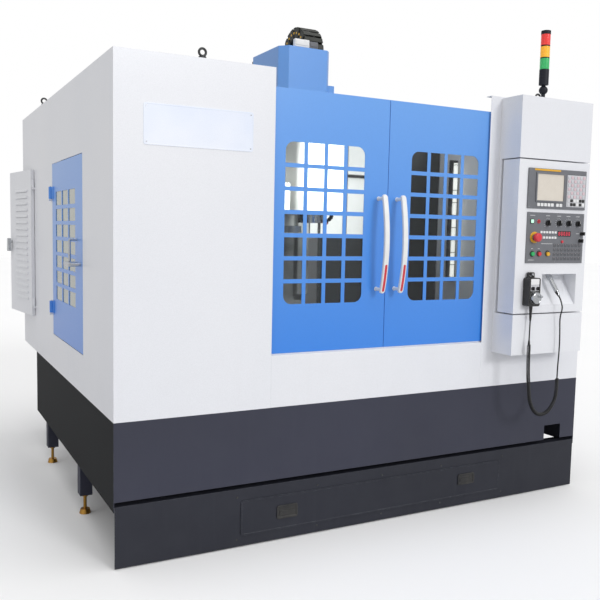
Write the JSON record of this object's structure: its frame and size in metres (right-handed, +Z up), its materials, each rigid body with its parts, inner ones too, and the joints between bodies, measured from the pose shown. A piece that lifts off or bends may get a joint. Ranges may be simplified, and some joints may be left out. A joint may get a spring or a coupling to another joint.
{
  "type": "cnc machining center",
  "caption": "Vertical machining centre with sliding front doors, side door, swivelling control box with handwheel pendant, tool magazine and signal tower.",
  "frame": {"origin": "middle of the footprint, on the floor, without the free cord", "axes": "+Z up, +X to the operator's right, +Y towards the back; the doors face -Y"},
  "size_m": [2.7126, 2.666, 2.575],
  "materials": {
    "white_sheet": "satin powder coat",
    "blue_sheet": "satin powder coat",
    "black_sheet": "fine textured powder coat",
    "grey_sheet": "satin paint",
    "lining_sheet": "satin paint",
    "casting": "painted casting",
    "ground_steel": "ground",
    "bright_steel": "polished",
    "brass_foot": "turned",
    "pane": "clear laminated",
    "white_plastic": "smooth",
    "black_plastic": "fine textured",
    "panel_grey": "fine textured",
    "red_plastic": "smooth",
    "green_plastic": "smooth",
    "yellow_plastic": "smooth",
    "lens_plastic": "clear coloured rings: green below, yellow, red on top",
    "cord_rubber": "matte",
    "motor_black": "semi-gloss"
  },
  "bodies": {
    "machine": {"left_enclosure": "white_sheet", "right_enclosure": "white_sheet", "front_sill": "white_sheet", "rear_wall": "white_sheet", "chamber_lining": "lining_sheet", "base_skirt": "black_sheet", "support_legs": "black_sheet", "levelling_feet": "brass_foot", "bed": "casting", "column": "casting", "axis_motors": "motor_black", "magazine_frame": "casting", "door_rail": "ground_steel", "electrical_cabinet": "white_sheet", "pod_frame": "white_sheet", "tower_light": "grey_sheet", "tower_lenses": "lens_plastic", "eye_bolts": "motor_black"},
    "left_door": {"left_door": "blue_sheet", "left_window": "pane", "left_handle": "white_plastic"},
    "right_door": {"right_door": "blue_sheet", "right_window": "pane", "right_handle": "white_plastic"},
    "side_door": {"side_door": "blue_sheet", "side_window": "pane"},
    "side_latch": {"side_latch": "black_plastic"},
    "cabinet_door": {"cabinet_door": "white_sheet"},
    "cabinet_handle": {"cabinet_handle": "black_plastic"},
    "coolant_tank": {"coolant_tank": "black_sheet"},
    "saddle": {"saddle": "casting"},
    "table": {"table": "ground_steel"},
    "head": {"spindle_head": "casting", "spindle_motor": "motor_black", "head_cover": "blue_sheet", "cable_chain": "black_plastic"},
    "spindle": {"spindle": "bright_steel"},
    "magazine": {"magazine_disc": "ground_steel"},
    "tool_arm": {"tool_arm": "ground_steel"},
    "control_box": {"control_box": "white_sheet", "display_unit": "panel_grey", "operator_panel": "panel_grey", "pendant": "black_plastic", "pendant_plug": "bright_steel", "cord_pendant_lead": "cord_rubber", "cord_curl": "cord_rubber", "cord_plug_lead": "cord_rubber"},
    "estop_button": {"estop_button": "red_plastic"},
    "button_start": {"button_start": "green_plastic"},
    "button_stop": {"button_stop": "red_plastic"},
    "button_reset": {"button_reset": "yellow_plastic"},
    "rotary_knob_1": {"rotary_knob_1": "black_plastic"},
    "rotary_knob_2": {"rotary_knob_2": "black_plastic"},
    "rotary_knob_3": {"rotary_knob_3": "black_plastic"},
    "rotary_knob_4": {"rotary_knob_4": "black_plastic"},
    "selector_1": {"selector_1": "black_plastic"},
    "selector_2": {"selector_2": "black_plastic"},
    "handwheel": {"handwheel": "bright_steel"},
    "pendant_dial_1": {"pendant_dial_1": "black_plastic"},
    "pendant_dial_2": {"pendant_dial_2": "black_plastic"}
  },
  "joints": [
    {"name": "left_door_slide", "type": "slide", "parent": "machine", "child": "left_door", "axis": [-1, 0, 0], "range_m": [0, 0.525]},
    {"name": "right_door_slide", "type": "slide", "parent": "machine", "child": "right_door", "axis": [1, 0, 0], "range_m": [0, 0.525]},
    {"name": "side_door_swing", "type": "hinge", "parent": "machine", "child": "side_door", "pos_m": [-1.2538, 0.239, 1.27], "axis": [0, 0, 1], "range_deg": [-110, 0]},
    {"name": "side_latch_turn", "type": "hinge", "parent": "side_door", "child": "side_latch", "pos_m": [-1.2448, -0.5, 1.227], "axis": [1, 0, 0], "range_deg": [-90, 0]},
    {"name": "cabinet_door_swing", "type": "hinge", "parent": "machine", "child": "cabinet_door", "pos_m": [-1.2558, 0.838, 1.29], "axis": [0, 0, 1], "range_deg": [-7.3, 100]},
    {"name": "cabinet_handle_turn", "type": "hinge", "parent": "cabinet_door", "child": "cabinet_handle", "pos_m": [-1.32307, 1.28, 1.2925], "axis": [0.9914, 0.1305, 0], "range_deg": [-90, 0]},
    {"name": "coolant_tank_slide", "type": "slide", "parent": "machine", "child": "coolant_tank", "axis": [0, -1, 0], "range_m": [0, 0.45]},
    {"name": "y_axis", "type": "slide", "parent": "machine", "child": "saddle", "axis": [0, 1, 0], "range_m": [-0.25, 0.25]},
    {"name": "x_axis", "type": "slide", "parent": "saddle", "child": "table", "axis": [1, 0, 0], "range_m": [-0.42, 0.42]},
    {"name": "z_axis", "type": "slide", "parent": "machine", "child": "head", "axis": [0, 0, 1], "range_m": [-0.5, 0]},
    {"name": "spindle_turn", "type": "hinge", "parent": "head", "child": "spindle", "pos_m": [0.0552, -0.335, 1.475], "axis": [0, 0, 1], "continuous": true},
    {"name": "magazine_turn", "type": "hinge", "parent": "machine", "child": "magazine", "pos_m": [-0.3448, -0.185, 1.78], "axis": [1, 0, 0], "continuous": true},
    {"name": "tool_arm_swing", "type": "hinge", "parent": "machine", "child": "tool_arm", "pos_m": [-0.1648, -0.335, 1.41], "axis": [0, 0, 1], "range_deg": [0, 180]},
    {"name": "control_box_swivel", "type": "hinge", "parent": "machine", "child": "control_box", "pos_m": [1.1842, -1.171, 1.4], "axis": [0, 0, 1], "range_deg": [0, 70]},
    {"name": "estop_press", "type": "slide", "parent": "control_box", "child": "estop_button", "axis": [0, 1, 0], "range_m": [0, 0.006], "stiffness_N_per_m": 1500},
    {"name": "button_start_press", "type": "slide", "parent": "control_box", "child": "button_start", "axis": [0, 1, 0], "range_m": [0, 0.004], "stiffness_N_per_m": 800},
    {"name": "button_stop_press", "type": "slide", "parent": "control_box", "child": "button_stop", "axis": [0, 1, 0], "range_m": [0, 0.004], "stiffness_N_per_m": 800},
    {"name": "button_reset_press", "type": "slide", "parent": "control_box", "child": "button_reset", "axis": [0, 1, 0], "range_m": [0, 0.004], "stiffness_N_per_m": 800},
    {"name": "rotary_knob_1_turn", "type": "hinge", "parent": "control_box", "child": "rotary_knob_1", "pos_m": [0.9252, -1.264, 1.471], "axis": [0, 1, 0], "range_deg": [-135, 135]},
    {"name": "rotary_knob_2_turn", "type": "hinge", "parent": "control_box", "child": "rotary_knob_2", "pos_m": [1.0032, -1.264, 1.471], "axis": [0, 1, 0], "range_deg": [-135, 135]},
    {"name": "rotary_knob_3_turn", "type": "hinge", "parent": "control_box", "child": "rotary_knob_3", "pos_m": [1.0692, -1.264, 1.471], "axis": [0, 1, 0], "range_deg": [-135, 135]},
    {"name": "rotary_knob_4_turn", "type": "hinge", "parent": "control_box", "child": "rotary_knob_4", "pos_m": [1.1362, -1.264, 1.471], "axis": [0, 1, 0], "range_deg": [-135, 135]},
    {"name": "selector_1_turn", "type": "hinge", "parent": "control_box", "child": "selector_1", "pos_m": [1.1672, -1.264, 1.42], "axis": [0, 1, 0], "range_deg": [-45, 45]},
    {"name": "selector_2_turn", "type": "hinge", "parent": "control_box", "child": "selector_2", "pos_m": [1.1572, -1.264, 1.383], "axis": [0, 1, 0], "range_deg": [-45, 45]},
    {"name": "handwheel_turn", "type": "hinge", "parent": "control_box", "child": "handwheel", "pos_m": [0.8192, -1.315, 1.095], "axis": [0, -1, 0], "continuous": true},
    {"name": "pendant_dial_1_turn", "type": "hinge", "parent": "control_box", "child": "pendant_dial_1", "pos_m": [0.8022, -1.31, 1.142], "axis": [0, 1, 0], "range_deg": [-60, 60]},
    {"name": "pendant_dial_2_turn", "type": "hinge", "parent": "control_box", "child": "pendant_dial_2", "pos_m": [0.8362, -1.31, 1.142], "axis": [0, 1, 0], "range_deg": [-60, 60]}
  ]
}
